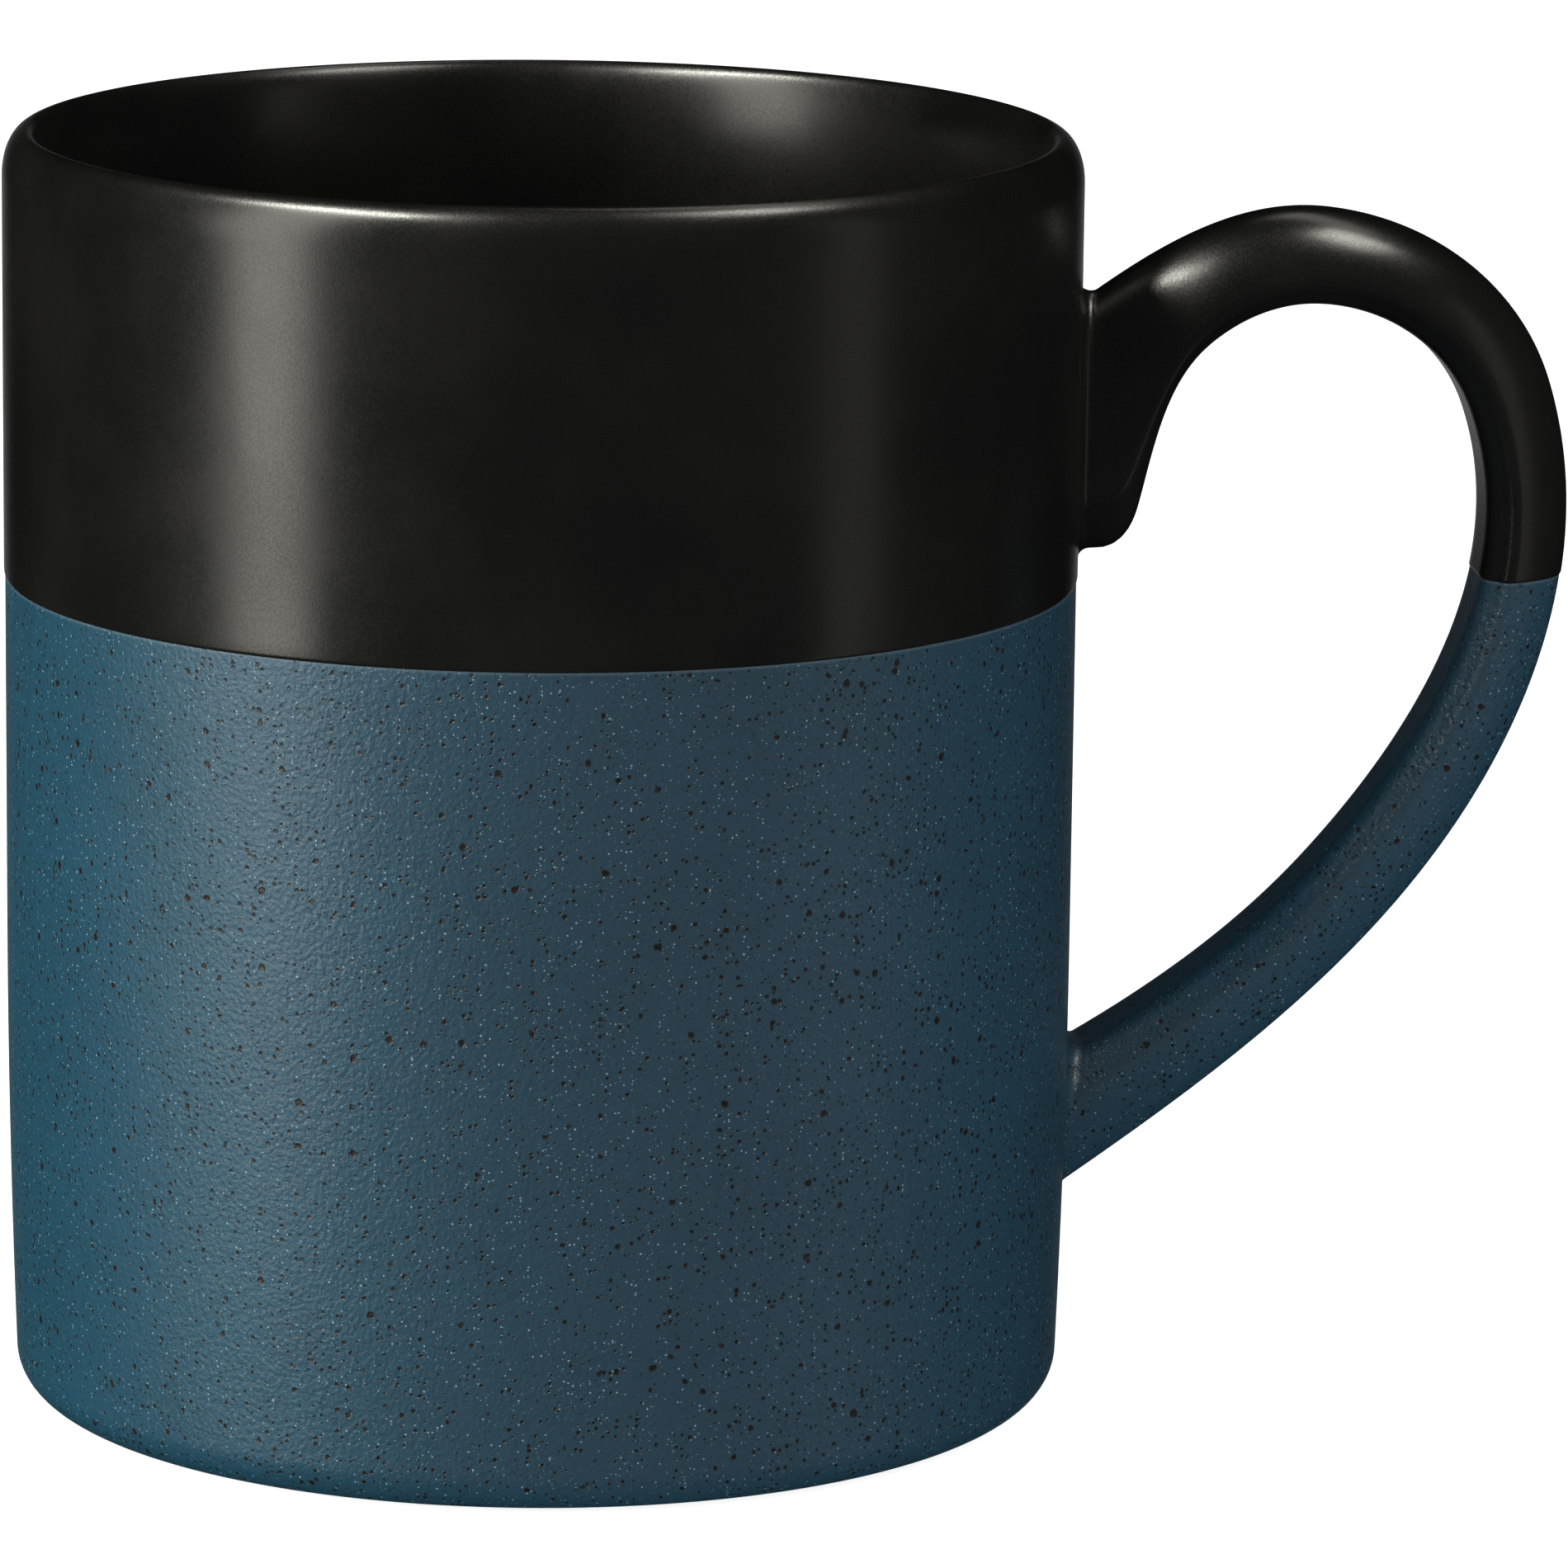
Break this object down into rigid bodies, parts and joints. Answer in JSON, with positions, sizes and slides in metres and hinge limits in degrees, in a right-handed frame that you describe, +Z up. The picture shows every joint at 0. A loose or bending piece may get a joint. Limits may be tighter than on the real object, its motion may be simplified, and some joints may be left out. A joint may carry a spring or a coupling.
{
  "type": "ceramic mug",
  "caption": "Straight-sided stoneware mug with an ear-shaped loop handle, black glazed inside and round the rim, speckled matte blue below.",
  "frame": {"origin": "middle of the flat foot, on the table plane", "axes": "+Z up through the open rim, +X from the cup's axis towards the handle, the handle in the plane y = 0"},
  "size_m": [0.1209, 0.0824, 0.0983],
  "materials": {
    "clay": "bare fired stoneware, matte and slightly gritty, seen only on the foot",
    "slip": "fired clay slip, hidden under the glaze",
    "black_glaze": "satin black glaze with a fine grain",
    "blue_glaze": "matte steel-blue glaze with brown specks, pits and pale dots"
  },
  "bodies": {
    "root": {"cup_body": "clay", "handle": "clay", "upper_slip_joint": "slip", "lower_slip_joint": "slip", "black_glaze": "black_glaze", "blue_glaze": "blue_glaze"}
  },
  "joints": []
}
